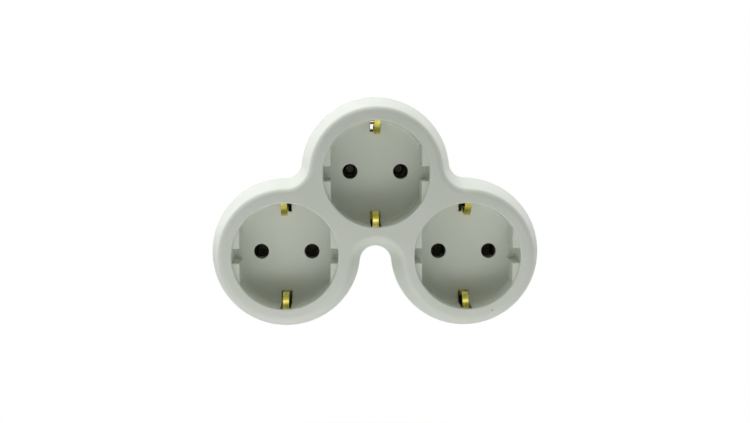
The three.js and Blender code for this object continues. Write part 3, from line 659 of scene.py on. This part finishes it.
def earth_arm():
    """Points (radial, z) of one spring arm and half the cross strip, from the tip down to the strip."""
    middle = CROSS_Z + EARTH_T / 2
    cut_in = EARTH_BEND_R * (1 - math.sqrt(0.5))
    return [
        (EARTH_TIP_R, EARTH_TIP_Z),
        (EARTH_APEX_R + EARTH_FLARE_OUT, EARTH_TIP_Z - EARTH_FLARE_DROP),
        (EARTH_APEX_R, EARTH_APEX_Z),
        (EARTH_APEX_R + EARTH_KNEE_OUT, FLOOR_Z + EARTH_KNEE_RISE),
        (EARTH_FLOOR_R, FLOOR_Z),
        (EARTH_FLOOR_R, middle + EARTH_BEND_R),
        (EARTH_FLOOR_R - cut_in, middle + cut_in),
        (EARTH_FLOOR_R - EARTH_BEND_R, middle),
        (EARTH_FLOOR_R - 2 * EARTH_BEND_R, middle),
    ]


def earth_bracket(x, y, shift, askew, sides):
    """One brass strip bent up into two spring arms that mirror each other, with eyes for its rivets."""
    run = spline(earth_arm(), ARM_STEPS)
    run += [(Vector((-p.x, p.y)), Vector((t.x, -t.y))) for p, t in reversed(run)]
    section = band_section(EARTH_W, EARTH_T, EARTH_STRIP_EDGE)
    c, s = math.cos(askew), math.sin(askew)
    rings = []
    for point, tangent in run:
        normal = Vector((-tangent.y, tangent.x))
        ring = []
        for across, through in section:
            radial = point.x + normal.x * through
            height = point.y + normal.y * through
            ring.append((x + shift + across * c - radial * s, y + across * s + radial * c, height))
        rings.append(ring)
    bracket = stacked("bracket", rings)
    places = [(x, y + side * EARTH_RIVET_R) for side in sides]
    levels = (CROSS_Z - EYE_PROUD, CROSS_TOP + EYE_PROUD)
    join(bracket, *[cylinder(u, v, EYE_R, levels) for u, v in places])
    return cut(bracket, *[cylinder(u, v, RIVET_R + GAP, (CROSS_Z - EPS, CROSS_TOP + EPS)) for u, v in places])


def plug_pin(side):
    """Domed pin, collar and peened neck."""
    collar_z = BOSS_H + GAP
    neck_z = BAR_Z - GAP
    head_z = BAR_TOP + GAP + CLIP_T + GAP
    dome = quarter(0, PIN_R - PIN_LENGTH, PIN_R, DOME_START, 0, DOME_STEPS)
    profile = [*dome, (PIN_R, collar_z), (COLLAR_R, collar_z), (COLLAR_R, neck_z), (NECK_R, neck_z)]
    profile += [(NECK_R, head_z), (NECK_R + PEEN, head_z), (NECK_R, head_z + PEEN)]
    return turned(side * PIN_PITCH / 2, 0, profile)


def plug_earth_strip(side):
    """A leg along the plug's boss, turned inwards into a riveted foot."""
    foot_top = (LINK_TOP if side > 0 else LINK_Z - GAP) - EYE_PROUD
    foot_levels = (foot_top - EARTH_T, foot_top)
    inner = UPPER_FOOT_IN if side > 0 else -LEG_W / 2
    rivet_at = side * EARTH_RIVET_R
    leg_ends = sorted((side * (BOSS_R - LEG_T), side * BOSS_R))
    leg = box((-LEG_W / 2, LEG_W / 2), leg_ends, (BOSS_EDGE_R, foot_top))
    foot_ends = sorted((side * (BOSS_R - LEG_T / 2), rivet_at - side * (RIVET_HEAD_R + GAP)))
    foot = box((inner, LEG_W / 2), foot_ends, foot_levels)
    eye = cylinder(0, rivet_at, LEG_W / 2, foot_levels)
    join(leg, foot, eye)
    return cut(leg, cylinder(0, rivet_at, RIVET_R + GAP, (foot_top - EARTH_T - EPS, foot_top + EPS)))


def screw(x, y):
    """Pan-head screw with a cross recess, seen down its counterbore."""
    head = SCREW_SEAT_Z - GAP
    low = head - SCREW_HEAD_H
    tip = SCREW_SEAT_Z + SCREW_LENGTH
    profile = [(SCREW_HEAD_R * share, low + rise) for share, rise in SCREW_DOME]
    profile += [(SCREW_HEAD_R, head), (SCREW_R, head), (SCREW_R, tip - 2 * SCREW_R), (SCREW_POINT_R, tip)]
    made = turned(x, y, profile)
    reach = SCREW_HEAD_R * RECESS_SHARE
    levels = (low - EPS, low + RECESS_DEPTH)
    recess = centred_box(x, y, reach, RECESS_W / 2, levels)
    join(recess, centred_box(x, y, RECESS_W / 2, reach, levels))
    return cut(made, recess)


def new_material(name):
    """A node material, with its tree, shader and coordinates in metres."""
    material = bpy.data.materials.new(name)
    material.use_nodes = True
    tree = material.node_tree
    shader = tree.nodes["Principled BSDF"]
    coordinates = tree.nodes.new("ShaderNodeTexCoord")
    return material, tree, shader, coordinates.outputs["Object"]


def noise(tree, vector, scale, detail=3.0, roughness=0.5):
    """Values of a noise over a place."""
    node = tree.nodes.new("ShaderNodeTexNoise")
    node.inputs["Scale"].default_value = scale
    node.inputs["Detail"].default_value = detail
    node.inputs["Roughness"].default_value = roughness
    tree.links.new(vector, node.inputs["Vector"])
    return node.outputs["Fac"]


def map_range(tree, value, source, target):
    """A value carried from one range to another, and held at its ends."""
    node = tree.nodes.new("ShaderNodeMapRange")
    node.inputs["From Min"].default_value = source[0]
    node.inputs["From Max"].default_value = source[1]
    node.inputs["To Min"].default_value = target[0]
    node.inputs["To Max"].default_value = target[1]
    tree.links.new(value, node.inputs["Value"])
    return node.outputs["Result"]


def mix_colour(tree, factor, first, second):
    """A mix of two colours, each a tuple or a socket."""
    node = tree.nodes.new("ShaderNodeMix")
    node.data_type = "RGBA"
    tree.links.new(factor, node.inputs["Factor"])
    for socket, value in ((node.inputs["A"], first), (node.inputs["B"], second)):
        if isinstance(value, tuple):
            socket.default_value = (*value, 1.0)
        else:
            tree.links.new(value, socket)
    return node.outputs["Result"]


def add_bump(tree, shader, height, strength, distance, before=None):
    """Bumps the shader's normal by a height, on top of an earlier bump if there is one."""
    node = tree.nodes.new("ShaderNodeBump")
    node.inputs["Strength"].default_value = strength
    node.inputs["Distance"].default_value = distance
    tree.links.new(height, node.inputs["Height"])
    if before is not None:
        tree.links.new(before, node.inputs["Normal"])
    tree.links.new(node.outputs["Normal"], shader.inputs["Normal"])
    return node.outputs["Normal"]


def srgb(*values):
    """An 8-bit display colour as linear values."""
    return tuple((v / 255 / 12.92) if v <= 10 else ((v / 255 + 0.055) / 1.055) ** 2.4 for v in values)


def speck_mask(tree, where):
    """How much of the speck of dirt covers a place: its rim is made ragged by a fine noise."""
    distance = tree.nodes.new("ShaderNodeVectorMath")
    distance.operation = "DISTANCE"
    distance.inputs[1].default_value = place(*SPECK_AT)
    tree.links.new(where, distance.inputs[0])
    ragged = tree.nodes.new("ShaderNodeMath")
    ragged.operation = "MULTIPLY_ADD"
    ragged.inputs[1].default_value = SPECK_RAGGED
    tree.links.new(noise(tree, where, SPECK_EDGE_SCALE, detail=2), ragged.inputs[0])
    tree.links.new(distance.outputs["Value"], ragged.inputs[2])
    return map_range(tree, ragged.outputs["Value"], SPECK_RADII, (SPECK_SHARE, 0))


def plastic_material():
    """Off-white moulded plastic: fine satin grain, faint yellowing in blotches, and one speck of dirt."""
    material, tree, shader, where = new_material("housing_plastic")
    blotch = map_range(tree, noise(tree, where, BLOTCH_SCALE, detail=4), PATCHES, (0, 1))
    base = mix_colour(tree, blotch, srgb(*PLASTIC_COLOUR), srgb(*YELLOWED_COLOUR))
    base = mix_colour(tree, speck_mask(tree, where), base, srgb(*SPECK_COLOUR))
    tree.links.new(base, shader.inputs["Base Color"])
    rough = map_range(tree, noise(tree, where, SHINE_SCALE), MIDDLE, PLASTIC_ROUGHNESS)
    tree.links.new(rough, shader.inputs["Roughness"])
    shader.inputs["IOR"].default_value = 1.5
    fine = noise(tree, where, GRAIN_SCALE, detail=2)
    grain = add_bump(tree, shader, fine, strength=0.25, distance=GRAIN_DEPTH)
    ripple = noise(tree, where, RIPPLE_SCALE, detail=2)
    add_bump(tree, shader, ripple, strength=0.2, distance=RIPPLE_DEPTH, before=grain)
    return material


def metal_material(name, bright, dull, roughness, scales, inner=1.0):
    """Rolled or turned metal: streaks along one way and tarnish in patches.

    Past the bars inside the housing its colour is scaled by inner: painted shade that darkens the metal deep
    inside.
    """
    material, tree, shader, where = new_material(name)
    stretch = tree.nodes.new("ShaderNodeMapping")
    stretch.inputs["Scale"].default_value = scales
    tree.links.new(where, stretch.inputs["Vector"])
    streaks = noise(tree, stretch.outputs["Vector"], 1, detail=4, roughness=0.6)
    tarnish = noise(tree, where, TARNISH_SCALE, detail=4, roughness=0.6)
    colour = mix_colour(tree, map_range(tree, tarnish, PATCHES, (0, 1)), bright, dull)
    # Painted shade: deeper than the bars the colour falls to the share given by inner.
    parts = tree.nodes.new("ShaderNodeSeparateXYZ")
    tree.links.new(where, parts.inputs[0])
    painted_shade_factor = map_range(tree, parts.outputs["Y"], (-BAR_TOP * MM, -BAR_Z * MM), (inner, 1.0))
    shade_darkened_colour = tree.nodes.new("ShaderNodeVectorMath")
    shade_darkened_colour.operation = "SCALE"
    tree.links.new(colour, shade_darkened_colour.inputs[0])
    tree.links.new(painted_shade_factor, shade_darkened_colour.inputs["Scale"])
    tree.links.new(shade_darkened_colour.outputs["Vector"], shader.inputs["Base Color"])
    shader.inputs["Metallic"].default_value = 1.0
    tree.links.new(map_range(tree, streaks, MIDDLE, roughness), shader.inputs["Roughness"])
    add_bump(tree, shader, streaks, strength=0.25, distance=GRAIN_DEPTH)
    return material


def camera_white(tree, shade, white, share=None):
    """A shade that only the camera sees as white, all over or by the given share."""
    path = tree.nodes.new("ShaderNodeLightPath")
    seen = path.outputs["Is Camera Ray"]
    if share is not None:
        part = tree.nodes.new("ShaderNodeMath")
        part.operation = "MULTIPLY"
        tree.links.new(seen, part.inputs[0])
        tree.links.new(share, part.inputs[1])
        seen = part.outputs["Value"]
    mix = tree.nodes.new("ShaderNodeMixShader")
    tree.links.new(seen, mix.inputs["Fac"])
    tree.links.new(shade, mix.inputs[1])
    tree.links.new(white, mix.inputs[2])
    return mix.outputs["Shader"]


def studio_floor():
    """A pale matt floor that keeps the shadow and turns plain white further out, for the camera only."""
    low = cad_box[0][2] - FLOOR_DROP
    mesh = bpy.data.meshes.new("studio_floor")
    corners = [(x * FLOOR_HALF, y * FLOOR_HALF, low) for x, y in ((-1, -1), (1, -1), (1, 1), (-1, 1))]
    mesh.from_pydata(corners, [], [(0, 1, 2, 3)])
    floor = bpy.data.objects.new("studio_floor", mesh)
    collection.objects.link(floor)
    material, tree, shader, where = new_material("studio_white")
    shader.inputs["Base Color"].default_value = (FLOOR_GREY, FLOOR_GREY, FLOOR_GREY, 1)
    shader.inputs["Roughness"].default_value = 0.7
    length = tree.nodes.new("ShaderNodeVectorMath")
    length.operation = "LENGTH"
    tree.links.new(where, length.inputs[0])
    away = map_range(tree, length.outputs["Value"], (WHITE_FROM, WHITE_TO), (0, 1))
    glow = tree.nodes.new("ShaderNodeEmission")
    surface = camera_white(tree, shader.outputs["BSDF"], glow.outputs["Emission"], away)
    tree.links.new(surface, tree.nodes["Material Output"].inputs["Surface"])
    mesh.materials.append(material)


def studio_world(around, tilt, ahead, belt):
    """Light from behind and from the sides, brighter on the left, and little from the camera's side.

    There a dim belt lies round a patch straight ahead of the wells. The camera sees plain white.
    """
    world = bpy.data.worlds.new("studio")
    bpy.context.scene.world = world
    world.use_nodes = True
    tree = world.node_tree
    dim = tree.nodes["Background"]
    coordinates = tree.nodes.new("ShaderNodeTexCoord")
    parts = tree.nodes.new("ShaderNodeSeparateXYZ")
    tree.links.new(coordinates.outputs["Generated"], parts.inputs[0])
    sides = map_range(tree, parts.outputs["X"], (-1, 1), (around + tilt, around - tilt))
    front = map_range(tree, parts.outputs["Y"], AHEAD_SPAN, (ahead, belt))
    beside = map_range(tree, parts.outputs["Y"], BESIDE_SPAN, (0, 1))
    level = tree.nodes.new("ShaderNodeMix")
    tree.links.new(beside, level.inputs["Factor"])
    tree.links.new(front, level.inputs["A"])
    tree.links.new(sides, level.inputs["B"])
    tree.links.new(level.outputs["Result"], dim.inputs["Strength"])
    tree.links.new(mix_colour(tree, beside, FRONT_TINT, SIDE_TINT), dim.inputs["Color"])
    white = tree.nodes.new("ShaderNodeBackground")
    white.inputs["Color"].default_value = (1, 1, 1, 1)
    surface = camera_white(tree, dim.outputs["Background"], white.outputs["Background"])
    tree.links.new(surface, tree.nodes["World Output"].inputs["Surface"])


def soft_light(name, at, size, watts):
    """A rectangular lamp turned towards the part."""
    data = bpy.data.lights.new(name, "AREA")
    data.shape = "RECTANGLE"
    data.size, data.size_y = size
    data.energy = watts
    lamp = bpy.data.objects.new(name, data)
    lamp.location = at
    aim = Vector(AIM) - Vector(at)
    lamp.rotation_euler = aim.to_track_quat("-Z", "Y").to_euler()
    collection.objects.link(lamp)


def photo_camera():
    """The photograph's camera."""
    data = bpy.data.cameras.new("camera")
    data.sensor_width = SENSOR
    data.lens = LENS
    camera = bpy.data.objects.new("camera", data)
    camera.location = CAMERA_AT
    camera.rotation_euler = Vector(CAMERA_LOOKS).to_track_quat("-Z", "Y").to_euler()
    collection.objects.link(camera)
    bpy.context.scene.camera = camera


plastic = plastic_material()
brass = metal_material(
    "rolled_brass",
    bright=srgb(246, 236, 132),
    dull=srgb(206, 192, 84),
    roughness=(0.18, 0.34),
    scales=ROLLED_SCALES,
)
# Painted shade: the same brass, darker and rougher, for the contacts, rivets and bars deep inside the
# housing.
brass_with_painted_shade = metal_material(
    "brass_with_painted_shade",
    bright=srgb(160, 155, 134),
    dull=srgb(128, 123, 104),
    roughness=(0.4, 0.6),
    scales=ROLLED_SCALES,
)
plated = metal_material(
    "nickel_plate",
    bright=srgb(214, 211, 202),
    dull=srgb(186, 182, 172),
    roughness=(0.14, 0.3),
    scales=TURNED_SCALES,
    # Painted shade: the pins' ends inside the housing are darkened to this share of their colour.
    inner=0.12,
)
steel = metal_material(
    "zinc_plate",
    bright=srgb(190, 194, 198),
    dull=srgb(150, 154, 158),
    roughness=(0.25, 0.42),
    scales=EVEN_SCALES,
)

finish_piece(front_cover(), "moulded_front_cover", plastic, "front_cover")
finish_piece(back_cover(), "moulded_back_cover", plastic, "back_cover")
for socket_name, row in SOCKETS.items():
    replaced = "earth_bracket_" + socket_name
    finish_piece(earth_bracket(*row), "bent_" + replaced, brass, replaced, STRIP_SHARP_ANGLE)
for side_name, pin_side in (("left", -1), ("right", 1)):
    replaced = "plug_pin_" + side_name
    finish_piece(plug_pin(pin_side), "turned_" + replaced, plated, replaced)
for side_name, strip_side in (("upper", 1), ("lower", -1)):
    replaced = "plug_earth_strip_" + side_name
    finish_piece(plug_earth_strip(strip_side), "bent_" + replaced, brass, replaced)
for screw_name, (screw_x, screw_y) in SCREW_PLACES.items():
    finish_piece(screw(screw_x, screw_y), "headed_" + screw_name, steel, screw_name)

# Inner metal gets plain brass, or brass darkened as painted shade.
for node_name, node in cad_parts.items():
    if node_name.startswith(INNER_NODES):
        node.data.materials.clear()
        node.data.materials.append(brass if node_name in PLAIN_BRASS_NODES else brass_with_painted_shade)

studio_floor()
studio_world(around=1.38, tilt=0.42, ahead=0.24, belt=0.1)
soft_light("overhead", at=(-0.15, -0.05, 1.1), size=(1.4, 1.1), watts=6)
soft_light("low_front", at=(-0.02, -0.2, -0.125), size=(0.3, 0.05), watts=0.1)
photo_camera()
bpy.context.scene.view_settings.view_transform = "Standard"
